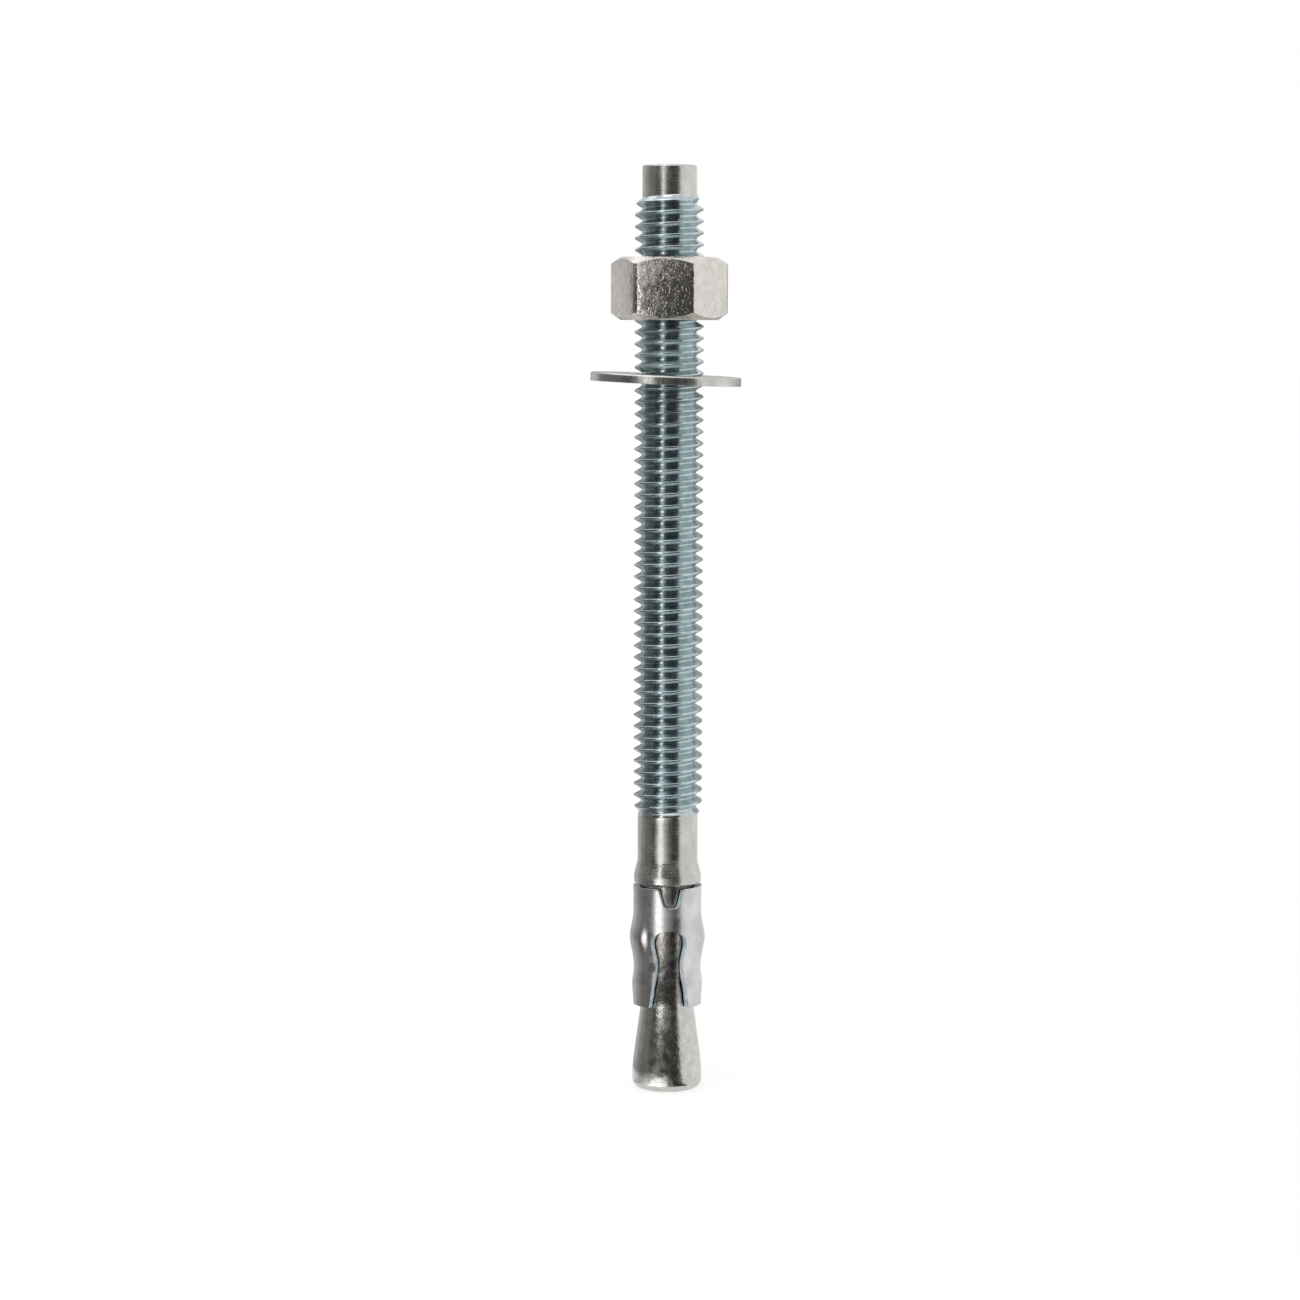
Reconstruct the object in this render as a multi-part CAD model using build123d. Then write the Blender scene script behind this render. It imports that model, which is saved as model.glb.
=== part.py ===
"""A zinc-plated wedge anchor with its expansion clip, flat washer and hex nut.

The anchor stands on its cone end, with the middle of that end at the origin, its threaded end
up along +Z, and the side of the clip's slot to the front, facing -Y.  Sizes are in
millimetres.  Angles round the stud are counted from the front, anticlockwise as seen from
above.
"""

from build123d import *
from math import atan2, cos, radians, tan
import os

# ---- stud: lengths from the cone end to the tip, and diameters -----------------------------
anchor_length = 127.0
end_edge_radius = 1.2
base_diameter = 9.62
base_length = 3.22
cone_length = 9.08
cone_blend_length = 1.8
neck_diameter = 7.1
neck_length = 16.5
neck_corner_chamfer = 0.3
collar_diameter = 9.28
collar_length = 1.1
collar_edge_chamfer = 0.25
collar_flare_length = 2.0
flare_radius = 1.3
shank_diameter = 8.28
shank_length = 6.0
thread_diameter = 9.44
thread_start_length = 1.6
thread_end_length = 1.8
point_diameter = 7.43
point_length = 3.6
point_edge_chamfer = 0.3

# ---- expansion clip: a strip rolled round the neck -----------------------------------------
clip_length = 16.6
clip_end_gap = 0.4
clip_wall = 0.95
clip_neck_clearance = 0.2
clip_edge_chamfer = 0.25
clip_lip = 0.06
clip_lip_length = 1.4
waist_height = 5.1
waist_depth = 0.07
swell_height = 2.9
swell_rise = 0.16
bump_height = 9.4
bump_length = 5.9
bump_rise = 0.55
bump_half_angle = 45.0
slot_angle = 3.5
slot_height = 10.8
slot_mouth_half_angle = 36.5
slot_waist_half_angle = 23.6
slot_waist_height = 6.0
slot_shoulder_half_angle = 31.5
slot_shoulder_height = 9.2
slot_crown_half_angle = 18.0
slot_crown_height = 10.5
notch_angle = 6.0
notch_depth = 2.7
notch_mouth_half_angle = 23.5
notch_floor_half_angle = 12.5
notch_corner_radius = 0.8
seam_width = 1.6

# ---- hex nut -------------------------------------------------------------------------------
nut_across_flats = 14.1
nut_height = 8.5
nut_tip_distance = 12.4
nut_flat_angle = -5.75
nut_corner_radius = 0.9
nut_chamfer_angle = 35.0
nut_chamfer_diameter = 13.3
nut_thread_clearance = 0.05
nut_countersink_diameter = 10.3

# ---- flat washer ---------------------------------------------------------------------------
washer_diameter = 20.6
washer_bore_diameter = 10.6
washer_thickness = 1.2
washer_edge_chamfer = 0.3
washer_nut_gap = 7.4
washer_lean_angle = 2.3
washer_stud_clearance = 0.15

# ---- places along the stud, worked out from the sizes above --------------------------------
neck_start = base_length + cone_length
neck_end = neck_start + neck_length
collar_end = neck_end + collar_length
shank_start = collar_end + collar_flare_length
shank_end = shank_start + shank_length
point_start = anchor_length - point_length
clip_start = neck_end - clip_end_gap - clip_length
clip_inner_radius = neck_diameter / 2 + clip_neck_clearance
clip_outer_radius = clip_inner_radius + clip_wall
nut_start = anchor_length - nut_tip_distance - nut_height
washer_middle = nut_start - washer_nut_gap - washer_thickness / 2
washer_side_shift = (washer_bore_diameter - thread_diameter) / 2 - washer_stud_clearance
nut_bore_radius = thread_diameter / 2 + nut_thread_clearance


def revolved(sketch):
    """Turn a half profile, drawn with X as radius and Y as height, into a solid of revolution."""
    return revolve(Plane.XZ * sketch, Axis.Z)


def at_corner(sketch, radius, height):
    """The vertex of a half profile at this radius and height."""
    return sketch.vertices().sort_by_distance((radius, height, 0))[0]


def anchor_stud():
    """The stud in one piece: cone, neck, collar, shank, thread at its full diameter, and point."""
    base, neck = base_diameter / 2, neck_diameter / 2
    collar, shank = collar_diameter / 2, shank_diameter / 2
    thread, point = thread_diameter / 2, point_diameter / 2
    cone_blend_radius = cone_blend_length / tan(atan2(base - neck, cone_length) / 2)
    corners = [
        (0, 0),
        (base, 0),
        (base, base_length),
        (neck, neck_start),
        (neck, neck_end),
        (collar, neck_end),
        (collar, collar_end),
        (shank, shank_start),
        (shank, shank_end),
        (thread, shank_end + thread_start_length),
        (thread, point_start - thread_end_length),
        (point, point_start),
        (point, anchor_length),
        (0, anchor_length),
    ]
    profile = make_face(Polyline(*corners, close=True))
    roundings = [
        (base, 0, end_edge_radius),
        (base, base_length, cone_blend_radius),
        (collar, collar_end, flare_radius),
        (shank, shank_start, flare_radius),
    ]
    for radius, height, rounding in roundings:
        profile = fillet(at_corner(profile, radius, height), rounding)
    bevels = [
        (neck, neck_end, neck_corner_chamfer),
        (collar, neck_end, collar_edge_chamfer),
        (point, anchor_length, point_edge_chamfer),
    ]
    for radius, height, bevel in bevels:
        profile = chamfer(at_corner(profile, radius, height), bevel)
    return revolved(profile)


def clip_tube():
    """The rolled strip before its openings: a tube with a low swell, a waist and a lipped top."""
    inner, outer = clip_inner_radius, clip_outer_radius
    low, high = clip_start, clip_start + clip_length
    outline = [
        (inner, low),
        (outer, low),
        (outer + swell_rise, clip_start + swell_height),
        (outer - waist_depth, clip_start + waist_height),
        (outer, clip_start + bump_height - bump_length / 2),
        (outer, high - clip_lip_length),
        (outer + clip_lip, high),
        (inner, high),
    ]
    profile = make_face(Polyline(*outline, close=True))
    return revolved(chamfer(at_corner(profile, outer, low), clip_edge_chamfer))


def clip_bump(middle_angle):
    """One pressed bump: a lens-shaped ridge that runs part of the way round and ends in a step."""
    middle = clip_start + bump_height
    root = clip_outer_radius - clip_wall / 2
    foot, half = clip_outer_radius - 0.02, bump_length / 2
    arc = ThreePointArc((foot, middle - half), (clip_outer_radius + bump_rise, middle), (foot, middle + half))
    lens = make_face(arc + Polyline(arc @ 1, (root, middle + half), (root, middle - half), arc @ 0))
    ridge = revolve(Plane.XZ * lens, Axis.Z, 2 * bump_half_angle)
    return Rot(0, 0, middle_angle - 90 - bump_half_angle) * ridge


def radial_cutter(angle, outline):
    """A cutter with radial side faces: outline(distance) draws its section at that distance."""
    near = clip_inner_radius * cos(radians(slot_mouth_half_angle)) - clip_wall / 4
    far = clip_outer_radius + bump_rise + clip_wall
    sections = []
    for distance in (near, far):
        sections.append(Plane((0, -distance, 0), x_dir=(1, 0, 0), z_dir=(0, -1, 0)) * outline(distance))
    return Rot(0, 0, angle) * loft(sections, ruled=True)


def slot_outline(distance):
    """The hourglass slot, open at the foot: a waist, round shoulders and a flat crown."""

    def side(half_angle, height):
        return distance * tan(radians(half_angle)), clip_start + height

    mouth = side(slot_mouth_half_angle, -clip_wall)
    waist = side(slot_waist_half_angle, slot_waist_height)
    right = Spline(
        mouth,
        waist,
        side(slot_shoulder_half_angle, slot_shoulder_height),
        side(slot_crown_half_angle, slot_crown_height),
        side(0, slot_height),
        tangents=((waist[0] - mouth[0], waist[1] - mouth[1]), (-1, 0)),
    )
    left = mirror(right, Plane.YZ)
    foot = Line((-mouth[0], mouth[1]), mouth)
    return make_face(right + left + foot)


def notch_outline(distance):
    """The notch in the upper edge: sides that draw in towards a floor with round corners."""
    high = clip_start + clip_length
    floor = high - notch_depth
    lean = (tan(radians(notch_mouth_half_angle)) - tan(radians(notch_floor_half_angle))) / notch_depth
    bottom = distance * tan(radians(notch_floor_half_angle))
    top = bottom + distance * lean * (notch_depth + clip_wall)
    corners = [(-bottom, floor), (bottom, floor), (top, high + clip_wall), (-top, high + clip_wall)]
    outline = make_face(Polyline(*corners, close=True))
    rounding = notch_corner_radius * distance / clip_outer_radius
    for side in (-bottom, bottom):
        outline = fillet(at_corner(outline, side, floor), rounding)
    return outline


def expansion_clip():
    """The clip in one piece: slot and notch at the front, two bumps, and the seam opposite."""
    clip = clip_tube()
    for side in (-90, 90):
        clip += clip_bump(notch_angle + side)
    clip -= radial_cutter(slot_angle, slot_outline)
    clip -= radial_cutter(notch_angle, notch_outline)
    beyond = clip_outer_radius + clip_wall
    seam = Box(seam_width, beyond, clip_length + 2 * clip_wall)
    clip -= Rot(0, 0, notch_angle) * Pos(0, beyond / 2, clip_start + clip_length / 2) * seam
    return clip


def flat_washer():
    """A stamped ring with a worn upper edge, caught on the thread: off centre and leaning."""
    inner, outer, half = washer_bore_diameter / 2, washer_diameter / 2, washer_thickness / 2
    profile = make_face(Polyline((inner, -half), (outer, -half), (outer, half), (inner, half), close=True))
    profile = chamfer(at_corner(profile, outer, half), washer_edge_chamfer)
    return Pos(-washer_side_shift, 0, washer_middle) * Rot(0, washer_lean_angle, 0) * revolved(profile)


def hex_nut():
    """A hexagon with rounded corners, chamfered on both faces, bored and countersunk."""
    prism = extrude(RegularPolygon(nut_across_flats / 2, 6, major_radius=False), nut_height)
    prism = fillet(prism.edges().filter_by(Axis.Z), nut_corner_radius)
    face_radius, middle = nut_chamfer_diameter / 2, nut_height / 2
    reach = face_radius + middle / tan(radians(nut_chamfer_angle))
    half_lens = [(0, 0), (face_radius, 0), (reach, middle), (face_radius, nut_height), (0, nut_height)]
    lens = make_face(Polyline(*half_lens, close=True))
    nut = prism & revolved(lens)
    mouth, bore = nut_countersink_diameter / 2, nut_bore_radius
    hole = make_face(
        Polyline(
            (0, 0),
            (mouth, 0),
            (bore, mouth - bore),
            (bore, nut_height - (mouth - bore)),
            (mouth, nut_height),
            (0, nut_height),
            close=True,
        )
    )
    nut -= revolved(hole)
    return Pos(0, 0, nut_start) * Rot(0, 0, nut_flat_angle) * nut


def main():
    os.makedirs("parts", exist_ok=True)
    for piece in (anchor_stud, expansion_clip, flat_washer, hex_nut):
        export_step(piece(), f"parts/{piece.__name__}.step")


if __name__ == "__main__":
    main()
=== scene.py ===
"""A zinc-plated wedge anchor on its cone end: stud, expansion clip, flat washer and hex nut.

Each piece is drawn at its own place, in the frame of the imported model: the middle of the cone
end is the origin, the threaded end points up, and the side of the clip's slot faces -Y.
Sizes are given in millimetres and drawn in metres.  Angles round the stud are in degrees from
the front, anticlockwise as seen from above.
"""

from __future__ import annotations

import logging
import math
from contextlib import contextmanager
from dataclasses import dataclass, replace
from enum import Enum
from typing import Callable, Iterator, Sequence

import bmesh
import bpy
from bpy.types import Material, Node, NodeSocket, NodeTree, Object
from mathutils import Matrix, Vector
from mathutils.geometry import interpolate_bezier

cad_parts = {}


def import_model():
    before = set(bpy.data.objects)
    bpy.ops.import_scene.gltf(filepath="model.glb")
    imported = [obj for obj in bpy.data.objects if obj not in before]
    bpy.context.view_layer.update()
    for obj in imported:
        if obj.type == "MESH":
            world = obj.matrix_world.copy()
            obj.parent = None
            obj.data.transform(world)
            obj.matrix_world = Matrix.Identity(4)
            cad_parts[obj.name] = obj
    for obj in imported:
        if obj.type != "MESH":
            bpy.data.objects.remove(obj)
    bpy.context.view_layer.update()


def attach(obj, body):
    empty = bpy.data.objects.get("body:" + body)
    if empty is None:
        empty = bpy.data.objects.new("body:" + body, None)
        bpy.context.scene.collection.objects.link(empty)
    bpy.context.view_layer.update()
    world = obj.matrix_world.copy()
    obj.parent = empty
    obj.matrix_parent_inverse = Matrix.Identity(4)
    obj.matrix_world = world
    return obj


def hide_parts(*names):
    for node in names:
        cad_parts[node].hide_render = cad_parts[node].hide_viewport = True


LOG = logging.getLogger("anchor")
MM = 0.001
WHITE = (1.0, 1.0, 1.0, 1.0)
Outline = Sequence[tuple[float, float]]
Triple = tuple[float, float, float]


# ---- modelling by hand ----


def pick(obj: Object) -> Object:
    """Makes one object the only selected one, and the active one.

    Args:
        obj: the object to work on.

    Returns:
        The same object.
    """
    bpy.ops.object.select_all(action="DESELECT")
    obj.select_set(True)
    bpy.context.view_layer.objects.active = obj
    return obj


@contextmanager
def editing(obj: Object) -> Iterator[bmesh.types.BMesh]:
    """Opens an object in edit mode with nothing selected, and closes it again.

    Args:
        obj: the mesh object to edit.

    Returns:
        The mesh under edit, for selecting by place or normal.
    """
    pick(obj)
    bpy.ops.object.mode_set(mode="EDIT")
    bpy.ops.mesh.select_mode(type="VERT")
    bpy.ops.mesh.select_all(action="DESELECT")
    try:
        yield bmesh.from_edit_mesh(obj.data)
    finally:
        bpy.ops.object.mode_set(mode="OBJECT")


def select_edges(obj: Object, test: Callable[[bmesh.types.BMEdge], bool]) -> None:
    """Selects the edges of an object under edit that pass a test.

    Args:
        obj: the object in edit mode.
        test: says of an edge whether it is wanted.
    """
    bpy.ops.mesh.select_mode(type="EDGE")
    mesh = bmesh.from_edit_mesh(obj.data)
    for edge in mesh.edges:
        edge.select_set(test(edge))
    bmesh.update_edit_mesh(obj.data)


def modify(obj: Object, kind: str, **settings: object) -> None:
    """Adds one modifier with its settings and applies it.

    Args:
        obj: the object to change.
        kind: the modifier's type.
        settings: the modifier's own settings, by name.
    """
    pick(obj)
    bpy.ops.object.modifier_add(type=kind)
    modifier = obj.modifiers[-1]
    for key, value in settings.items():
        setattr(modifier, key, value)
    bpy.ops.object.modifier_apply(modifier=modifier.name)


def close_up(obj: Object, gap: float = 0.002) -> None:
    """Merges vertices that lie together and turns all faces outwards.

    Args:
        obj: the object to close.
        gap: the farthest apart that two vertices are merged, in millimetres.
    """
    with editing(obj):
        bpy.ops.mesh.select_all(action="SELECT")
        bpy.ops.mesh.remove_doubles(threshold=gap * MM)
        bpy.ops.mesh.normals_make_consistent(inside=False)


def smooth(obj: Object, angle: float) -> None:
    """Shades an object smoothly where its faces meet at less than an angle, in degrees."""
    pick(obj)
    bpy.ops.object.shade_smooth_by_angle(angle=math.radians(angle))


def settle(obj: Object, name: str) -> Object:
    """Names an object and moves its place into its mesh.

    Args:
        obj: the object to settle.
        name: its name from now on.

    Returns:
        The same object, at the origin and unturned.
    """
    obj.name = obj.data.name = name
    pick(obj)
    bpy.ops.object.transform_apply(location=True, rotation=True, scale=True)
    return obj


def draw_chain(name: str, outline: Outline) -> Object:
    """Draws an open line of vertices in the XZ plane by extruding one vertex from point to point.

    Args:
        name: the new object's name.
        outline: radius and height of each point, in millimetres.

    Returns:
        The line as a mesh object at the origin.
    """
    bpy.ops.object.select_all(action="DESELECT")
    bpy.ops.mesh.primitive_plane_add(size=MM, location=(0, 0, 0))
    line = bpy.context.active_object
    line.name = name
    with editing(line):
        bpy.ops.mesh.select_all(action="SELECT")
        bpy.ops.mesh.merge(type="CENTER")
        bpy.ops.transform.translate(value=(outline[0][0] * MM, 0, outline[0][1] * MM))
        for (radius, height), (last_radius, last_height) in zip(outline[1:], outline):
            step = ((radius - last_radius) * MM, 0, (height - last_height) * MM)
            bpy.ops.mesh.extrude_region_move(TRANSFORM_OT_translate={"value": step})
    return line


def turned(name: str, outline: Outline, facets: int) -> Object:
    """Spins an outline a full turn round the stud's axis into a skin.

    Args:
        name: the new object's name.
        outline: radius and height of each point, in millimetres.
        facets: how many facets go round.

    Returns:
        The skin.
    """
    line = draw_chain(name, outline)
    with editing(line):
        bpy.ops.mesh.select_all(action="SELECT")
        bpy.ops.mesh.spin(steps=facets, angle=math.tau, center=(0, 0, 0), axis=(0, 0, 1))
    close_up(line)
    return line


def carve(obj: Object, tool: Object, how: str) -> None:
    """Combines an object with a closed tool shape and throws the tool away.

    Args:
        obj: the object that is cut.
        tool: the closed shape that cuts it.
        how: DIFFERENCE or INTERSECT.
    """
    modify(obj, "BOOLEAN", object=tool, operation=how, solver="EXACT")
    bpy.data.objects.remove(tool, do_unlink=True)


def cut_level(obj: Object, height: float, keep_above: bool, fill: bool = False) -> None:
    """Cuts an object off square to the stud's axis.

    Args:
        obj: the object to cut.
        height: where the cut is, in millimetres.
        keep_above: whether what lies above the cut stays, and not what lies below.
        fill: whether a face closes the cut.
    """
    with editing(obj):
        bpy.ops.mesh.select_all(action="SELECT")
        bpy.ops.mesh.bisect(
            plane_co=(0, 0, height * MM),
            plane_no=(0, 0, 1),
            use_fill=fill,
            clear_inner=keep_above,
            clear_outer=not keep_above,
        )


def rounded(corners: Sequence[Triple], steps: int = 5) -> Outline:
    """Rounds the corners of an outline.

    Args:
        corners: radius, height and rounding of each corner, in millimetres.
        steps: how many edges each rounding has.

    Returns:
        The outline with an arc in place of each corner that has a rounding.
    """
    line: list[tuple[float, float]] = []
    for index, (radius, height, rounding) in enumerate(corners):
        if rounding == 0:
            line.append((radius, height))
            continue
        here = Vector((radius, height))
        back = (Vector(corners[index - 1][:2]) - here).normalized()
        ahead = (Vector(corners[index + 1][:2]) - here).normalized()
        half = back.angle(ahead) / 2
        middle = here + (back + ahead).normalized() * (rounding / math.sin(half))
        start = here + back * (rounding / math.tan(half)) - middle
        end = here + ahead * (rounding / math.tan(half)) - middle
        sweep = start.angle_signed(end)
        for step in range(steps + 1):
            turn = Matrix.Rotation(-sweep * step / steps, 2)
            line.append(tuple(middle + turn @ start))
    return line


def smooth_line(knots: Outline, spans: int = 24) -> list[Vector]:
    """Draws a smooth line through points.

    Args:
        knots: the points that it passes.
        spans: how many short edges lie between two of them.

    Returns:
        The points of the line.
    """
    places = [Vector((across, up, 0)) for across, up in knots]
    lean = [places[1] - places[0]]
    lean += [(after - before) / 2 for before, after in zip(places, places[2:])]
    lean.append(places[-1] - places[-2])
    line: list[Vector] = []
    for index in range(len(places) - 1):
        first, last = places[index], places[index + 1]
        reach = (last - first).length
        pull = [part.normalized() * reach / 3 for part in (lean[index], lean[index + 1])]
        line += interpolate_bezier(first, first + pull[0], last - pull[1], last, spans)[:-1]
    return line + [places[-1]]


def distances(line: Sequence[Vector]) -> list[float]:
    """Measures a line from its start to each of its points.

    Args:
        line: the line's points.

    Returns:
        How far along the line each point lies, 0 for the first.
    """
    marks = [0.0]
    for before, after in zip(line, line[1:]):
        marks.append(marks[-1] + (after - before).length)
    return marks


def evenly(line: Sequence[Vector], count: int) -> list[Vector]:
    """Places points at equal distances along a line.

    Args:
        line: the line's points.
        count: how many steps there are from its start to its end.

    Returns:
        The evenly spaced points, both ends among them.
    """
    marks = distances(line)
    points: list[Vector] = []
    at = 0
    for step in range(count + 1):
        wanted = marks[-1] * step / count
        while at < len(marks) - 2 and marks[at + 1] < wanted:
            at += 1
        share = (wanted - marks[at]) / max(marks[at + 1] - marks[at], 1e-9)
        points.append(line[at].lerp(line[at + 1], min(1.0, share)))
    return points


def ease(share: float) -> float:
    """Rises smoothly from 0 to 1 as share does, and stays there beyond."""
    share = min(1.0, max(0.0, share))
    return share * share * (3 - 2 * share)


# ---- finishes ----


def linear(code: str) -> tuple[float, float, float, float]:
    """Turns an sRGB hex colour into the linear colour that shaders take.

    Args:
        code: six hex digits.

    Returns:
        Red, green, blue and an alpha of 1.
    """
    parts = [int(code[place : place + 2], 16) / 255 for place in (0, 2, 4)]
    red, green, blue = (p / 12.92 if p <= 0.04045 else ((p + 0.055) / 1.055) ** 2.4 for p in parts)
    return red, green, blue, 1.0


def blank_material(name: str) -> tuple[Material, NodeTree]:
    """Makes a material that has no nodes yet.

    Args:
        name: the material's name.

    Returns:
        The material and its node tree.
    """
    material = bpy.data.materials.new(name)
    material.use_nodes = True
    material.node_tree.nodes.clear()
    return material, material.node_tree


def add_node(tree: NodeTree, kind: str, inputs: dict | None = None, **settings: object) -> Node:
    """Adds one node, sets it up and links it.

    Args:
        tree: the node tree.
        kind: the node's type.
        inputs: for each input, a value or the output that feeds it.
        settings: the node's own settings, by name.

    Returns:
        The new node.
    """
    node = tree.nodes.new(kind)
    for key, value in settings.items():
        setattr(node, key, value)
    for key, value in (inputs or {}).items():
        if isinstance(value, NodeSocket):
            tree.links.new(value, node.inputs[key])
        else:
            node.inputs[key].default_value = value
    return node


def ramp(
    tree: NodeTree,
    value: NodeSocket,
    band: tuple[float, float],
    ends: tuple[float, float] = (0.0, 1.0),
) -> NodeSocket:
    """Carries a band of values over to another, and holds beyond both ends.

    Args:
        tree: the node tree.
        value: the output that is carried over.
        band: the lowest and the highest value that count.
        ends: what those two turn into.

    Returns:
        The result's output.
    """
    inputs = {"Value": value, "From Min": band[0], "From Max": band[1]}
    inputs |= {"To Min": ends[0], "To Max": ends[1]}
    return add_node(tree, "ShaderNodeMapRange", inputs).outputs["Result"]


def mix_colours(tree: NodeTree, share: NodeSocket, first: object, second: object) -> NodeSocket:
    """Mixes two colours, through the sockets that this kind of node keeps for colours.

    Args:
        tree: the node tree.
        share: the output that says how much of the second there is.
        first: the first colour, or the output that gives it.
        second: the second colour, or the output that gives it.

    Returns:
        The mixed colour's output.
    """
    inputs = {"Factor": share, 6: first, 7: second}
    return add_node(tree, "ShaderNodeMix", inputs, data_type="RGBA").outputs[2]


def relief(
    tree: NodeTree, height: NodeSocket, depth_mm: float, base: NodeSocket | None = None
) -> NodeSocket:
    """Raises a pattern on a surface, or sinks it into one that has a relief already.

    Args:
        tree: the node tree.
        height: the output that gives the pattern.
        depth_mm: how deep the pattern is, in millimetres.
        base: the relief that the pattern is sunk into, if there is one.

    Returns:
        The surface's new direction.
    """
    inputs = {"Strength": 1.0, "Distance": depth_mm * MM, "Height": height}
    if base is not None:
        inputs["Normal"] = base
    return add_node(tree, "ShaderNodeBump", inputs, invert=base is not None).outputs["Normal"]


def glow(tree: NodeTree, level: float) -> NodeSocket:
    """Adds a plain white light of one level."""
    return add_node(tree, "ShaderNodeEmission", {"Color": WHITE, "Strength": level}).outputs[0]


@dataclass(frozen=True)
class ZincPlate:
    """Bright zinc electroplate on steel: a thin metal skin that keeps the marks of the forming.

    The plate clouds from place to place, so its colour drifts between two close tones and its
    gloss with it, and it follows the grain and the pits of the steel below.  Where the clear
    passivation pools, a share of the skin is its chalky film.
    """

    name: str
    deep: str
    bright: str
    gloss: tuple[float, float]
    cloud_mm: float
    grain_mm: Triple
    grain_depth_mm: float
    pit_mm: float = 0.3
    pit_depth_mm: float = 0.006
    stain: str = "8F8A80"
    stain_share: float = 0.2
    film: float = 0.0
    cloud_band: tuple[float, float] = (0.35, 0.65)
    pit_band: tuple[float, float] = (0.58, 0.72)
    gloss_band: tuple[float, float] = (0.7, 1.3)

    def make(self) -> Material:
        """Builds the material.

        Returns:
            The material, ready for an object.
        """
        material, tree = blank_material(self.name)
        place = add_node(tree, "ShaderNodeTexCoord").outputs["Object"]
        clouds = self._noise(tree, place, (self.cloud_mm,) * 3, detail=3.0)
        grain = self._noise(tree, place, self.grain_mm, detail=2.0)
        pits = self._noise(tree, place, (self.pit_mm,) * 3, detail=1.0)
        tone = ramp(tree, clouds, self.cloud_band)
        plate = mix_colours(tree, tone, linear(self.deep), linear(self.bright))
        spots = ramp(tree, pits, self.pit_band, (0.0, self.stain_share))
        colour = mix_colours(tree, spots, plate, linear(self.stain))
        both = add_node(tree, "ShaderNodeMath", {0: clouds, 1: grain}, operation="ADD").outputs[0]
        rough = ramp(tree, both, self.gloss_band, self.gloss)
        streaks = relief(tree, grain, self.grain_depth_mm)
        dents = relief(tree, spots, self.pit_depth_mm, streaks)
        inputs = {"Base Color": colour, "Roughness": rough, "Normal": dents}
        inputs["Metallic"] = 1.0 - self.film
        skin = add_node(tree, "ShaderNodeBsdfPrincipled", inputs).outputs["BSDF"]
        add_node(tree, "ShaderNodeOutputMaterial", {"Surface": skin})
        return material

    @staticmethod
    def _noise(
        tree: NodeTree, place: NodeSocket, size_mm: Triple, detail: float
    ) -> NodeSocket:
        """Adds a noise whose spots have a size in millimetres along each axis.

        Args:
            tree: the material's node tree.
            place: the output that gives the place on the object.
            size_mm: the size of a spot along X, Y and Z.
            detail: how many finer layers are added.

        Returns:
            The noise's output.
        """
        inputs = {"Vector": place, "Scale": [1 / (size * MM) for size in size_mm]}
        scaled = add_node(tree, "ShaderNodeMapping", inputs).outputs["Vector"]
        inputs = {"Vector": scaled, "Scale": 1.0, "Detail": detail}
        return add_node(tree, "ShaderNodeTexNoise", inputs).outputs["Fac"]


def dress(obj: Object, *plates: ZincPlate) -> None:
    """Gives an object its plates, each in a slot of its own.

    Args:
        obj: the object to dress.
        plates: the plates, in the order of their slots.
    """
    obj.data.materials.clear()
    for plate in plates:
        obj.data.materials.append(plate.make())


# Cold-formed blank, tumbled before plating: smooth, with faint rings from the dies.
STUD_PLATE = ZincPlate(
    name="zinc_plate_on_cold_formed_stud",
    deep="BDBCB8",
    bright="D2D1CC",
    gloss=(0.17, 0.34),
    cloud_mm=2.2,
    grain_mm=(1.2, 1.2, 0.16),
    grain_depth_mm=0.009,
    pit_mm=0.35,
    pit_depth_mm=0.012,
    stain_share=0.25,
)

# Pressed cone: scuffed and finely dented where it was squeezed in the dies.
CONE_PLATE = ZincPlate(
    name="zinc_plate_on_pressed_cone",
    deep="BFBCB6",
    bright="D0CFCA",
    gloss=(0.14, 0.3),
    cloud_mm=1.1,
    grain_mm=(0.4, 0.4, 0.8),
    grain_depth_mm=0.02,
    pit_depth_mm=0.03,
    stain_share=0.25,
)

# Drawn neck: dented like the cone, in darker tones that are painted shade: they darken the neck
# where it lies under the clip and dim the highlight that it reflects.
NECK_PAINTED_SHADE_PLATE = replace(
    CONE_PLATE,
    name="zinc_on_drawn_neck_with_painted_shade",
    deep="908C86",
    bright="B2AEA8",
    grain_depth_mm=0.028,
)

# Rolled thread: burnished by the dies, with the blue-green film of a clear passivation.
THREAD_PLATE = ZincPlate(
    name="blue_passivated_zinc_on_rolled_thread",
    deep="AEBBBE",
    bright="C6D3D6",
    gloss=(0.14, 0.28),
    cloud_mm=1.6,
    grain_mm=(0.8, 0.8, 0.2),
    grain_depth_mm=0.006,
)

# Rolled strip, polished where it was bent: brighter than the stud, with soft marks round it.
CLIP_PLATE = ZincPlate(
    name="zinc_plate_on_rolled_strip",
    deep="C1BFBD",
    bright="D9D8D8",
    gloss=(0.22, 0.36),
    cloud_mm=2.6,
    grain_mm=(0.9, 0.9, 0.5),
    grain_depth_mm=0.008,
)

# Sheared edges of the strip: the clear passivation pools there and turns them blue.
CUT_EDGE_PLATE = ZincPlate(
    name="blue_passivated_zinc_on_cut_edge",
    deep="BACDD7",
    bright="E2ECF2",
    gloss=(0.42, 0.6),
    cloud_mm=0.8,
    grain_mm=(0.3, 0.3, 0.3),
    grain_depth_mm=0.01,
    pit_mm=0.2,
    stain="6F8790",
    stain_share=0.5,
    film=0.6,
)

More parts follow.
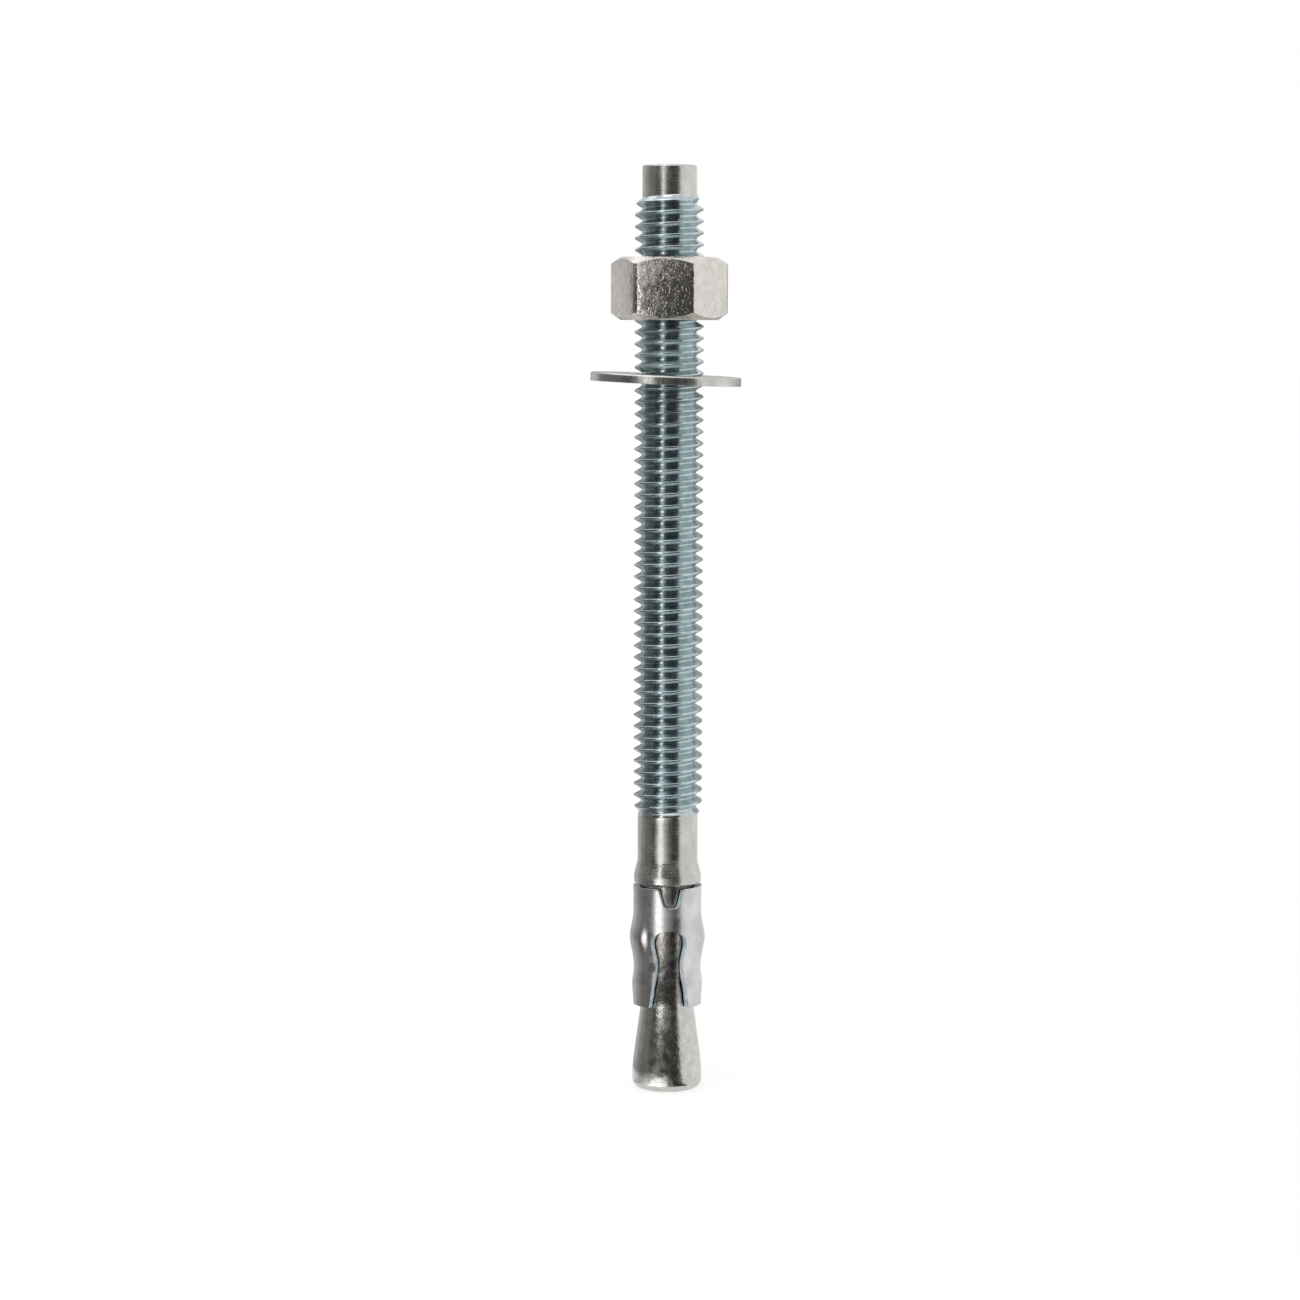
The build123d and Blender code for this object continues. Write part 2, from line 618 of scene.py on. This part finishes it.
# Stamped sheet: satin on the faces, with upright tear marks on the sheared rim.
WASHER_PLATE = ZincPlate(
    name="zinc_plate_on_stamped_sheet",
    deep="BFC0BC",
    bright="D8D8D3",
    gloss=(0.22, 0.38),
    cloud_mm=1.8,
    grain_mm=(0.22, 0.22, 1.6),
    grain_depth_mm=0.01,
    pit_depth_mm=0.008,
    stain_share=0.3,
)

# Cold-forged nut: beige, scuffed and finely dented from tumbling with others.
NUT_PLATE = ZincPlate(
    name="zinc_plate_on_forged_nut",
    deep="CFCBC4",
    bright="E0DAD5",
    gloss=(0.12, 0.28),
    cloud_mm=1.2,
    grain_mm=(0.8, 0.8, 0.8),
    grain_depth_mm=0.05,
    pit_depth_mm=0.06,
    stain="B4AFA6",
    stain_share=0.3,
)


# ---- the stud ----


@dataclass
class Thread:
    """The rolled right-hand thread: 16 turns to the inch, with rounded crests and roots.

    Its flank is given as the distance from the crest, in millimetres, and the share of the
    depth that is reached there.
    """

    pitch: float = 1.5875
    crest_radius: float = 4.72
    root_radius: float = 3.73
    crest_height: float = 35.36875
    flank: Outline = ((0.70, 0.005), (0.62, 0.07), (0.17, 0.88), (0.13, 0.95), (0.07, 0.99))
    steps: int = 72

    def one_pitch(self, allowance: float = 0.0) -> Outline:
        """Gives the outline of one pitch, from root to root.

        Args:
            allowance: how much larger than the stud's thread it is drawn, in millimetres.

        Returns:
            Radius and height of each point, the first crest at crest_height.
        """
        depth = self.crest_radius - self.root_radius
        rise = [(self.pitch / 2, 0.0), *self.flank, (0.0, 1.0)]
        side = [(away, self.root_radius + allowance + depth * share) for away, share in rise]
        lower = [(radius, self.crest_height - away) for away, radius in side]
        upper = [(radius, self.crest_height + away) for away, radius in reversed(side[:-1])]
        return lower + upper

    def wind(
        self, name: str, turns: range, allowance: float = 0.0, steps: int | None = None
    ) -> Object:
        """Winds the thread's skin.

        Args:
            name: the new object's name.
            turns: the first turn and the one after the last, counted from crest_height.
            allowance: how much larger than the stud's thread it is drawn, in millimetres.
            steps: how many facets go round, or None for the thread's own number.

        Returns:
            The open skin.
        """
        outline = [(r, z + turns.start * self.pitch) for r, z in self.one_pitch(allowance)]
        skin = draw_chain(name, outline)
        modify(
            skin,
            "SCREW",
            axis="Z",
            angle=math.tau,
            screw_offset=self.pitch * MM,
            iterations=len(turns),
            steps=steps or self.steps,
            render_steps=steps or self.steps,
            use_smooth_shade=True,
        )
        close_up(skin)
        return skin


@dataclass
class Stud:
    """The stud in one skin: cone end, neck, collar, blank shank, rolled thread and point."""

    length: float = 127.0
    heel_radius: float = 1.2
    base_radius: float = 4.81
    base_length: float = 3.22
    cone_length: float = 9.08
    cone_blend: float = 26.0
    neck_radius: float = 3.55
    neck_length: float = 16.5
    neck_blend: float = 6.0
    neck_corner: float = 0.3
    collar_radius: float = 4.64
    collar_length: float = 1.1
    collar_edge: float = 0.25
    flare_length: float = 2.0
    flare_rounding: float = 1.3
    shank_radius: float = 4.14
    thread_low: float = 37.7
    thread_high: float = 123.5
    thread_turns: int = 58
    fade_length: float = 2.3
    film_margin: float = 0.7
    point_radius: float = 3.715
    point_edge: float = 0.3
    hub_radius: float = 2.0
    cut_low: float = 37.0
    cut_high: float = 124.2
    joint_length: float = 0.5
    rim_reach: float = 0.6
    weld_gap: float = 0.004
    facets: int = 96
    lower_steps: int = 7
    upper_steps: int = 6
    crease_angle: float = 32.0

    def build(self, thread: Thread) -> Object:
        """Builds the stud.

        Args:
            thread: its thread.

        Returns:
            The finished stud, dressed.
        """
        skin = thread.wind("anchor_stud_skin", range(self.thread_turns))
        self._fade(skin)
        cut_level(skin, self.cut_low, keep_above=True)
        cut_level(skin, self.cut_high, keep_above=False)
        ends = (
            ("lower_end", self._lower_outline(), self.cut_low),
            ("upper_end", self._upper_outline(), self.cut_high),
        )
        for name, outline, height in ends:
            end = turned(name, outline, self.facets)
            pick(skin)
            end.select_set(True)
            bpy.ops.object.join()
            self._bridge(skin, height)
        close_up(skin, self.weld_gap)
        smooth(skin, self.crease_angle)
        self._dress(skin)
        return settle(skin, "anchor_stud_turned")

    def _fade(self, skin: Object) -> None:
        """Lets the thread run out into the blank shank below and into the point above.

        Args:
            skin: the thread's skin as it was wound.
        """
        for vertex in skin.data.vertices:
            place = vertex.co
            height = place.z / MM
            radius = math.hypot(place.x, place.y) / MM
            low = ease((height - self.thread_low) / self.fade_length)
            high = ease((self.thread_high - height) / self.fade_length)
            wanted = self.shank_radius + (radius - self.shank_radius) * low
            wanted = self.point_radius + (wanted - self.point_radius) * high
            place.x *= wanted / radius
            place.y *= wanted / radius

    def _bridge(self, skin: Object, height: float) -> None:
        """Joins two open rims near one height.

        Args:
            skin: the skin that has both rims.
            height: where the rims are.
        """
        with editing(skin):
            select_edges(
                skin,
                lambda edge: edge.is_boundary
                and all(abs(end.co.z / MM - height) < self.rim_reach for end in edge.verts),
            )
            bpy.ops.mesh.bridge_edge_loops()

    def _lower_outline(self) -> Outline:
        """Draws the outline from the middle of the cone end up to the thread.

        Returns:
            Radius and height of each point, in millimetres.
        """
        neck_start = self.base_length + self.cone_length
        neck_end = neck_start + self.neck_length
        collar_end = neck_end + self.collar_length
        corners = [
            (0.0, 0.0, 0.0),
            (self.hub_radius, 0.0, 0.0),
            (self.base_radius, 0.0, self.heel_radius),
            (self.base_radius, self.base_length, self.cone_blend),
            (self.neck_radius, neck_start, self.neck_blend),
            (self.neck_radius, neck_start + self.neck_blend, 0.0),
            (self.neck_radius, neck_end, self.neck_corner),
            (self.collar_radius, neck_end, self.collar_edge),
            (self.collar_radius, collar_end, self.flare_rounding),
            (self.shank_radius, collar_end + self.flare_length, self.flare_rounding),
            (self.shank_radius, self.cut_low - self.joint_length, 0.0),
        ]
        return rounded(corners, self.lower_steps)

    def _upper_outline(self) -> Outline:
        """Draws the outline from the thread up to the middle of the point.

        Returns:
            Radius and height of each point, in millimetres.
        """
        corners = [
            (self.point_radius, self.cut_high + self.joint_length, 0.0),
            (self.point_radius, self.length, self.point_edge),
            (self.hub_radius, self.length, 0.0),
            (0.0, self.length, 0.0),
        ]
        return rounded(corners, self.upper_steps)

    def _dress(self, skin: Object) -> None:
        """Gives the plain surfaces, the thread, the cone and the neck their own plates; the neck's
        darker plate is painted shade.

        Args:
            skin: the stud's finished skin.
        """
        plates = (STUD_PLATE, THREAD_PLATE, CONE_PLATE, NECK_PAINTED_SHADE_PLATE)
        dress(skin, *plates)
        slots = {plate.name: slot for slot, plate in enumerate(plates)}
        for face in skin.data.polygons:
            face.material_index = slots[self._plate_at(face.center.z / MM).name]

    def _plate_at(self, height: float) -> ZincPlate:
        """Tells which plate lies at one height.

        Args:
            height: the height above the cone end, in millimetres.

        Returns:
            The plate.
        """
        neck_start = self.base_length + self.cone_length
        if self.thread_low + self.film_margin < height < self.thread_high - self.film_margin:
            return THREAD_PLATE
        if height < neck_start:
            return CONE_PLATE
        # The neck under the clip gets the darker plate, as painted shade.
        if height < neck_start + self.neck_length:
            return NECK_PAINTED_SHADE_PLATE
        return STUD_PLATE


# ---- the expansion clip ----


class Side(Enum):
    """The two halves of the clip, as they lie left and right of its slot."""

    LEFT = -1
    RIGHT = 1


@dataclass
class Clip:
    """The expansion clip: strip rolled round the neck, with slot, notch, bumps and dimples.

    Heights are counted from the clip's foot.  The slot's outline is given as half its angle and
    the height, the swell as height and rise, and a dimple as its angle and height.
    """

    low: float = 11.8
    length: float = 16.6
    outer_radius: float = 4.7
    wall: float = 0.95
    slot_angle: float = 3.5
    slot: Outline = ((36.5, 0.0), (23.6, 6.0), (31.5, 9.2), (18.0, 10.5), (0.0, 10.8))
    notch_angle: float = 6.0
    notch_depth: float = 2.7
    notch_floor: float = 12.5
    notch_mouth: float = 23.5
    notch_rounding: float = 0.8
    notch_steps: int = 8
    seam_half_angle: float = 9.75
    bump_height: float = 9.4
    bump_half_length: float = 3.5
    bump_rise: float = 0.5
    bump_half_angle: float = 50.0
    bump_step: float = 16.0
    swell: Outline = (
        (0.0, 0.0), (2.9, 0.16), (5.1, -0.07), (6.5, 0.0), (15.2, 0.0), (16.6, 0.06)
    )
    dimples: Outline = ((-36.0, 1.7), (45.0, 1.7))
    dimple_depth: float = 0.05
    dimple_size: float = 0.45
    edge_rounding: float = 0.36
    edge_segments: int = 4
    rows: tuple[int, ...] = (84, 16, 10, 18)
    columns: tuple[int, ...] = (30, 6, 36, 6, 16)
    weld_gap: float = 0.004
    crease_angle: float = 28.0

    def build(self) -> Object:
        """Builds the clip.

        Returns:
            The finished clip, dressed.
        """
        halves = [self._half(side) for side in Side]
        pick(halves[0])
        halves[1].select_set(True)
        bpy.ops.object.join()
        clip = bpy.context.active_object
        close_up(clip, self.weld_gap)
        self._face_out(clip)
        dress(clip, CLIP_PLATE, CUT_EDGE_PLATE)
        modify(
            clip,
            "SOLIDIFY",
            thickness=self.wall * MM,
            offset=-1.0,
            use_even_offset=True,
            material_offset_rim=1,
        )
        self._round_edges(clip)
        smooth(clip, self.crease_angle)
        return settle(clip, "expansion_clip_rolled")

    def _half(self, side: Side) -> Object:
        """Lays out one half of the strip, from the slot and the notch to the seam.

        Args:
            side: which half.

        Returns:
            The half as an open sheet, its outer face only.
        """
        front = self._front_line(side)
        row_count, column_count = len(front) - 1, sum(self.columns)
        bpy.ops.object.select_all(action="DESELECT")
        # The flat grid reaches from -1 to 1 both ways, so that its places count rows and columns.
        bpy.ops.mesh.primitive_grid_add(
            x_subdivisions=column_count, y_subdivisions=row_count, size=2.0
        )
        sheet = bpy.context.active_object
        marks = distances(front)
        seam = self._seam_angle(side)
        for vertex in sheet.data.vertices:
            column = round((vertex.co.x + 1) / 2 * column_count)
            row = round((vertex.co.y + 1) / 2 * row_count)
            start = math.degrees(front[row].x / self.outer_radius)
            angle = self._column_angle(side, start, column)
            share = (angle - start) / (seam - start)
            level = self.length * marks[row] / marks[-1]
            height = front[row].y + (level - front[row].y) * share
            radius = self._radius(angle, height)
            turn = math.radians(angle)
            across, ahead = radius * math.sin(turn), -radius * math.cos(turn)
            vertex.co = Vector((across, ahead, self.low + height)) * MM
        return sheet

    def _seam_angle(self, side: Side) -> float:
        """Gives the angle at which one half of the strip ends, beside the seam."""
        return self.notch_angle + side.value * (180 - self.seam_half_angle)

    def _front_line(self, side: Side) -> list[Vector]:
        """Draws the edge of one half along slot, bridge and notch.

        Args:
            side: which half.

        Returns:
            Points from the foot to the top: distance round the strip and height.
        """

        def place(angle: float, height: float) -> tuple[float, float]:
            """Turns an angle and a height into a place on the flat strip."""
            return math.radians(angle) * self.outer_radius, height

        slot = [place(self.slot_angle + side.value * half, height) for half, height in self.slot]
        floor = self.length - self.notch_depth
        bridge = [slot[-1], place(self.notch_angle, floor)]
        corner = place(self.notch_angle + side.value * self.notch_floor, floor)
        mouth = place(self.notch_angle + side.value * self.notch_mouth, self.length)
        corners = [(*bridge[1], 0.0), (*corner, self.notch_rounding), (*mouth, 0.0)]
        notch = rounded(corners, self.notch_steps)
        slot_line = evenly(smooth_line(slot), self.rows[0])
        bridge_line = evenly([Vector((*point, 0)) for point in bridge], self.rows[1])
        notch_line = evenly([Vector((*point, 0)) for point in notch], self.rows[2] + self.rows[3])
        return slot_line + bridge_line[1:] + notch_line[1:]

    def _column_angle(self, side: Side, start: float, column: int) -> float:
        """Places a column of the sheet, so that columns run along the steps of the bump.

        Args:
            side: which half.
            start: the angle of the sheet's edge on this row.
            column: the column's number, from the slot to the seam.

        Returns:
            Its angle round the stud.
        """
        middle = self.notch_angle + side.value * 90
        near = middle - side.value * self.bump_half_angle
        far = middle + side.value * self.bump_half_angle
        step = side.value * self.bump_step
        seam = self._seam_angle(side)
        stops = [start, near, near + step, far - step, far, seam]
        for index, count in enumerate(self.columns):
            if column <= count:
                return stops[index] + (stops[index + 1] - stops[index]) * column / count
            column -= count
        return seam

    def _radius(self, angle: float, height: float) -> float:
        """Gives the outer radius of the strip at one place.

        Args:
            angle: the angle round the stud.
            height: the height above the clip's foot, in millimetres.

        Returns:
            The radius in millimetres.
        """
        radius = self.outer_radius
        for (low, rise), (high, next_rise) in zip(self.swell, self.swell[1:]):
            if low <= height <= high:
                radius += rise + (next_rise - rise) * ease((height - low) / (high - low))
        away = min(abs(angle - self.notch_angle - side.value * 90) for side in Side)
        along = ease(1 - abs(height - self.bump_height) / self.bump_half_length)
        radius += self.bump_rise * along * ease((self.bump_half_angle - away) / self.bump_step)
        for middle, level in self.dimples:
            across = math.radians(angle - middle) * self.outer_radius
            distance = math.hypot(across, height - level) / self.dimple_size
            radius -= self.dimple_depth * math.exp(-distance * distance)
        return radius

    @staticmethod
    def _face_out(clip: Object) -> None:
        """Turns the faces of the open sheet away from the stud's axis.

        Args:
            clip: the open sheet, with all its faces turned the same way.
        """
        face = clip.data.polygons[0]
        if face.normal.xy.dot(face.center.xy) < 0:
            with editing(clip):
                bpy.ops.mesh.select_all(action="SELECT")
                bpy.ops.mesh.flip_normals()

    def _round_edges(self, clip: Object) -> None:
        """Rounds the cut edges of the strip, outside and inside.

        Args:
            clip: the strip with its wall, whose cut edges have the second material.
        """
        with editing(clip):
            select_edges(
                clip,
                lambda edge: {face.material_index for face in edge.link_faces} == {0, 1},
            )
            bpy.ops.mesh.bevel(
                offset=self.edge_rounding * MM, segments=self.edge_segments, clamp_overlap=True
            )


# ---- the washer and the nut ----


@dataclass
class Washer:
    """The flat washer: stamped, so its upper rim is rolled over and its lower rim is torn."""

    outer_radius: float = 10.3
    bore_radius: float = 5.3
    thickness: float = 1.2
    rolled_edge: float = 0.3
    torn_edge: float = 0.06
    bore_edge: float = 0.2
    edge_steps: int = 4
    height: float = 98.1
    side_shift: float = 0.43
    lean_angle: float = 2.3
    facets: int = 160
    crease_angle: float = 30.0

    def build(self) -> Object:
        """Builds the washer.

        Returns:
            The finished washer, dressed.
        """
        half = self.thickness / 2
        middle = (self.bore_radius + self.outer_radius) / 2
        corners = [
            (middle, -half, 0.0),
            (self.outer_radius, -half, self.torn_edge),
            (self.outer_radius, half, self.rolled_edge),
            (self.bore_radius, half, self.bore_edge),
            (self.bore_radius, -half, self.torn_edge),
            (middle, -half, 0.0),
        ]
        washer = turned("flat_washer_ring", rounded(corners, self.edge_steps), self.facets)
        smooth(washer, self.crease_angle)
        dress(washer, WASHER_PLATE)
        washer.rotation_euler = (0, math.radians(self.lean_angle), 0)
        washer.location = Vector((-self.side_shift, 0, self.height)) * MM
        return settle(washer, "flat_washer_stamped")


@dataclass
class Nut:
    """The hex nut: forged, chamfered on both faces, and tapped to run on the stud's thread."""

    across_flats: float = 14.1
    height: float = 8.5
    low: float = 106.1
    flat_angle: float = -5.75
    corner_radius: float = 0.9
    corner_segments: int = 6
    chamfer_angle: float = 35.0
    chamfer_radius: float = 6.65
    chamfer_facets: int = 144
    edge_rounding: float = 0.09
    edge_segments: int = 2
    edge_angle: float = 24.0
    mouth_radius: float = 5.15
    core_radius: float = 4.05
    drill_reach: float = 1.0
    drill_facets: int = 96
    tap_allowance: float = 0.05
    tap_lead: float = 3.0
    tap_turns: int = 10
    tap_reach: float = 0.7
    tap_steps: int = 48
    weld_gap: float = 0.001
    crease_angle: float = 25.0

    def build(self, thread: Thread) -> Object:
        """Builds the nut.

        Args:
            thread: the stud's thread, which the nut is tapped to.

        Returns:
            The finished nut, dressed.
        """
        nut = self._prism()
        carve(nut, self._lens(), "INTERSECT")
        modify(
            nut,
            "BEVEL",
            width=self.edge_rounding * MM,
            segments=self.edge_segments,
            limit_method="ANGLE",
            angle_limit=math.radians(self.edge_angle),
        )
        carve(nut, self._drill(), "DIFFERENCE")
        carve(nut, self._tap(thread), "DIFFERENCE")
        close_up(nut, self.weld_gap)
        smooth(nut, self.crease_angle)
        dress(nut, NUT_PLATE)
        return settle(nut, "hex_nut_forged")

    def _prism(self) -> Object:
        """Makes the hexagon with its rounded upright corners.

        Returns:
            The hexagon at its place on the stud.
        """
        bpy.ops.object.select_all(action="DESELECT")
        bpy.ops.mesh.primitive_cylinder_add(
            vertices=6,
            radius=self.across_flats / 2 / math.cos(math.pi / 6) * MM,
            depth=self.height * MM,
            location=(0, 0, (self.low + self.height / 2) * MM),
            rotation=(0, 0, math.radians(30 + self.flat_angle)),
        )
        nut = settle(bpy.context.active_object, "hex_nut_prism")
        with editing(nut):
            select_edges(nut, lambda edge: abs(edge.verts[0].co.z - edge.verts[1].co.z) > MM)
            setback = self.corner_radius * math.tan(math.pi / 6)
            bpy.ops.mesh.bevel(offset=setback * MM, segments=self.corner_segments)
        return nut

    def _lens(self) -> Object:
        """Makes the double cone that chamfers both faces.

        Returns:
            The double cone, which the hexagon is cut down to.
        """
        middle = self.low + self.height / 2
        reach = self.chamfer_radius + self.height / 2 / math.tan(math.radians(self.chamfer_angle))
        outline = [
            (0.0, self.low),
            (self.chamfer_radius, self.low),
            (reach, middle),
            (self.chamfer_radius, self.low + self.height),
            (0.0, self.low + self.height),
        ]
        return turned("chamfer_tool", outline, self.chamfer_facets)

    def _drill(self) -> Object:
        """Makes the core drill with its countersinks.

        Returns:
            The drill, which is cut out of the nut.
        """
        high, reach = self.low + self.height, self.drill_reach
        sink = self.mouth_radius - self.core_radius
        outline = [
            (0.0, self.low - reach),
            (self.mouth_radius + reach, self.low - reach),
            (self.core_radius, self.low + sink),
            (self.core_radius, high - sink),
            (self.mouth_radius + reach, high + reach),
            (0.0, high + reach),
        ]
        return turned("core_drill", outline, self.drill_facets)

    def _tap(self, thread: Thread) -> Object:
        """Makes the tap: the stud's own thread, drawn slightly larger and closed at its ends.

        Args:
            thread: the stud's thread.

        Returns:
            The tap, which is cut out of the nut.
        """
        first = int((self.low - self.tap_lead - thread.crest_height) / thread.pitch)
        turns = range(first, first + self.tap_turns)
        tap = thread.wind("tap", turns, self.tap_allowance, self.tap_steps)
        high = self.low + self.height
        cut_level(tap, self.low - self.tap_reach, keep_above=True, fill=True)
        cut_level(tap, high + self.tap_reach, keep_above=False, fill=True)
        close_up(tap)
        return tap


# ---- the studio ----


@dataclass
class Studio:
    """A pale floor, an even white sky, one soft lamp, cards round the anchor and a camera.

    The cards lie round the anchor's foot and stand in a funnel round it.  Each row of their
    table has the two angles that a card reaches between, and its level of light in each band of
    the funnel's outline, or None where it is cut away.  A band that rises by more than
    lying_rise stands, and its cards fade to white for what looks along them more than at them.
    """

    floor_radius: float = 6000.0
    floor_facets: int = 64
    floor_tone: str = "FCFCFC"
    floor_glow: float = 0.8
    lamp_place: Triple = (-250.0, -350.0, 750.0)
    lamp_aim: Triple = (0.0, 0.0, 60.0)
    lamp_width: float = 500.0
    lamp_watts: float = 1.5
    card_outline: Outline = (
        (5.6, 0.3),
        (14.0, 0.3),
        (30.0, 0.4),
        (33.5, 13.0),
        (36.2, 24.0),
        (39.0, 35.0),
        (61.0, 119.0),
        (110.0, 300.0),
    )
    cards: tuple[tuple[float | None, ...], ...] = (
        (-180.0, -150.0, None, None, 0.8, 0.8, 0.8, 0.35, 0.8),
        (-150.0, -118.0, None, 0.5, 0.6, 0.6, 0.6, 0.7, 0.6),
        (-118.0, -95.0, None, 0.3, 0.35, 0.3, 0.35, 0.25, 0.4),
        (-95.0, -62.0, 0.6, 0.15, 0.2, 0.14, 0.2, 0.16, 0.25),
        (-62.0, -44.0, 0.9, 0.08, 0.08, 0.1, 0.1, 0.06, 0.12),
        (-44.0, -38.0, 1.6, 0.08, 0.08, 0.8, 0.4, 0.06, 0.12),
        (-38.0, -31.0, 2.2, 0.1, 0.12, 2.6, 1.0, 0.2, 0.3),
        (-31.0, -23.0, 2.2, 0.2, 0.2, 2.6, 1.7, 2.4, 1.8),
        (-23.0, -14.0, 2.2, 0.1, 0.12, 2.0, 1.3, 0.2, 0.5),
        (-14.0, 0.0, 1.6, 0.05, 0.05, 0.55, 0.5, 0.06, 0.1),
        (0.0, 14.0, 0.3, 0.04, 0.05, 0.3, 0.15, 0.06, 0.06),
        (14.0, 43.0, 0.05, 0.04, 0.05, 0.06, 0.06, 0.06, 0.06),
        (120.0, 180.0, None, None, 0.95, 0.95, 0.95, 0.5, None),
    )
    card_facets: int = 360
    lying_rise: float = 1.0
    card_fade: tuple[float, float] = (0.34, 0.44)
    card_white: float = 1.5
    lens: float = 94.15
    sensor_width: float = 36.0
    camera_range: tuple[float, float] = (10.0, 20000.0)
    camera_place: Triple = (-2.5, -465.1, 106.2)
    camera_aim: Triple = (-2.5, 0.0, 60.95)
    camera_roll: float = 0.16

    def build(self) -> None:
        """Sets up the floor, the sky, the lamp, the cards and the camera."""
        self._floor()
        self._sky()
        self._lamp()
        self._cards()
        self._camera()

    def _floor(self) -> None:
        """Lays the pale floor: white to camera and in gloss, but with the anchor's shadow."""
        bpy.ops.object.select_all(action="DESELECT")
        bpy.ops.mesh.primitive_circle_add(
            vertices=self.floor_facets,
            radius=self.floor_radius * MM,
            fill_type="NGON",
            location=(0, 0, 0),
        )
        floor = settle(bpy.context.active_object, "pale_floor")
        material, tree = blank_material("matt_white_board")
        path = add_node(tree, "ShaderNodeLightPath").outputs
        seen = path["Is Camera Ray"]
        for ray in ("Is Glossy Ray", "Is Transmission Ray"):
            either = {0: seen, 1: path[ray]}
            seen = add_node(tree, "ShaderNodeMath", either, operation="MAXIMUM").outputs[0]
        part = {0: seen, 1: self.floor_glow}
        share = add_node(tree, "ShaderNodeMath", part, operation="MULTIPLY").outputs[0]
        board = add_node(tree, "ShaderNodeBsdfDiffuse", {"Color": linear(self.floor_tone)})
        layers = {0: share, 1: board.outputs["BSDF"], 2: glow(tree, 1.0)}
        surface = add_node(tree, "ShaderNodeMixShader", layers).outputs["Shader"]
        add_node(tree, "ShaderNodeOutputMaterial", {"Surface": surface})
        floor.data.materials.append(material)

    @staticmethod
    def _sky() -> None:
        """Surrounds the anchor with an even white sky."""
        world = bpy.data.worlds.new("white_studio")
        world.use_nodes = True
        backdrop = world.node_tree.nodes["Background"]
        backdrop.inputs["Color"].default_value = WHITE
        backdrop.inputs["Strength"].default_value = 1.0
        bpy.context.scene.world = world

    def _lamp(self) -> None:
        """Hangs one large soft lamp above and in front."""
        bpy.ops.object.light_add(type="AREA", location=Vector(self.lamp_place) * MM)
        lamp = bpy.context.active_object
        lamp.name = "soft_lamp"
        lamp.data.shape = "SQUARE"
        lamp.data.size = self.lamp_width * MM
        lamp.data.energy = self.lamp_watts
        aim = Vector(self.lamp_aim) * MM - lamp.location
        lamp.rotation_euler = aim.to_track_quat("-Z", "Y").to_euler()

    def _cards(self) -> None:
        """Sets up the cards, which only the anchor's gloss sees."""
        funnel = turned("studio_cards", self.card_outline, self.card_facets)
        bands = list(zip(self.card_outline, self.card_outline[1:]))
        slots: dict[tuple[int, int], int] = {}
        for row, (_, _, *levels) in enumerate(self.cards):
            for band, level in enumerate(levels):
                if level is not None:
                    slots[row, band] = len(slots)
                    (_, low), (_, high) = bands[band]
                    card = self._card(f"card_{row}_{band}", level, high - low > self.lying_rise)
                    funnel.data.materials.append(card)
        spare = set()
        for face in funnel.data.polygons:
            angle = math.degrees(math.atan2(face.center.x, -face.center.y))
            reach = math.hypot(face.center.x, face.center.y) / MM
            rows = (i for i, card in enumerate(self.cards) if card[0] <= angle < card[1])
            rings = (i for i, (near, far) in enumerate(bands) if near[0] <= reach < far[0])
            row, band = next(rows, None), next(rings, None)
            if (row, band) in slots:
                face.material_index = slots[row, band]
            else:
                spare.add(face.index)
        with editing(funnel) as mesh:
            bpy.ops.mesh.select_mode(type="FACE")
            for face in mesh.faces:
                face.select_set(face.index in spare)
            bmesh.update_edit_mesh(funnel.data)
            bpy.ops.mesh.delete(type="FACE")
        settle(funnel, "studio_cards")
        for ray in ("camera", "diffuse", "transmission", "volume_scatter", "shadow"):
            setattr(funnel, f"visible_{ray}", False)

    def _card(self, name: str, level: float, stands: bool) -> Material:
        """Makes a card that gives light.

        Args:
            name: the material's name.
            level: how much light it gives.
            stands: whether it stands, and so fades to white where it is looked along.

        Returns:
            The material.
        """
        material, tree = blank_material(name)
        surface = glow(tree, level)
        if stands:
            facing = add_node(tree, "ShaderNodeLayerWeight", {"Blend": 0.5}).outputs["Facing"]
            fade = ramp(tree, facing, self.card_fade)
            layers = {0: fade, 1: surface, 2: glow(tree, self.card_white)}
            surface = add_node(tree, "ShaderNodeMixShader", layers).outputs["Shader"]
        add_node(tree, "ShaderNodeOutputMaterial", {"Surface": surface})
        return material

    def _camera(self) -> None:
        """Stands the camera in front, slightly above the middle and looking slightly down."""
        bpy.ops.object.camera_add(location=Vector(self.camera_place) * MM)
        camera = bpy.context.active_object
        camera.name = "studio_camera"
        camera.data.lens = self.lens
        camera.data.sensor_width = self.sensor_width
        camera.data.clip_start, camera.data.clip_end = (reach * MM for reach in self.camera_range)
        aim = Vector(self.camera_aim) - Vector(self.camera_place)
        roll = Matrix.Rotation(math.radians(self.camera_roll), 3, "Z")
        camera.rotation_euler = (aim.to_track_quat("-Z", "Y").to_matrix() @ roll).to_euler()
        bpy.context.scene.camera = camera


def main() -> None:
    """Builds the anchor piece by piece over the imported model."""
    logging.basicConfig(level=logging.INFO, format="%(name)s: %(message)s")
    bpy.context.scene.view_settings.view_transform = "Standard"
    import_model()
    Studio().build()
    thread = Thread()
    pieces = (
        (Stud().build(thread), "anchor_stud", "stud_zinc"),
        (Clip().build(), "expansion_clip", "clip_zinc"),
        (Washer().build(), "flat_washer", "washer_zinc"),
        (Nut().build(thread), "hex_nut", "nut_zinc"),
    )
    for piece, node, slot in pieces:
        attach(piece, node)
        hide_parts(node)
        LOG.info("%s: %d faces", piece.name, len(piece.data.polygons))


if __name__ == "__main__":
    main()
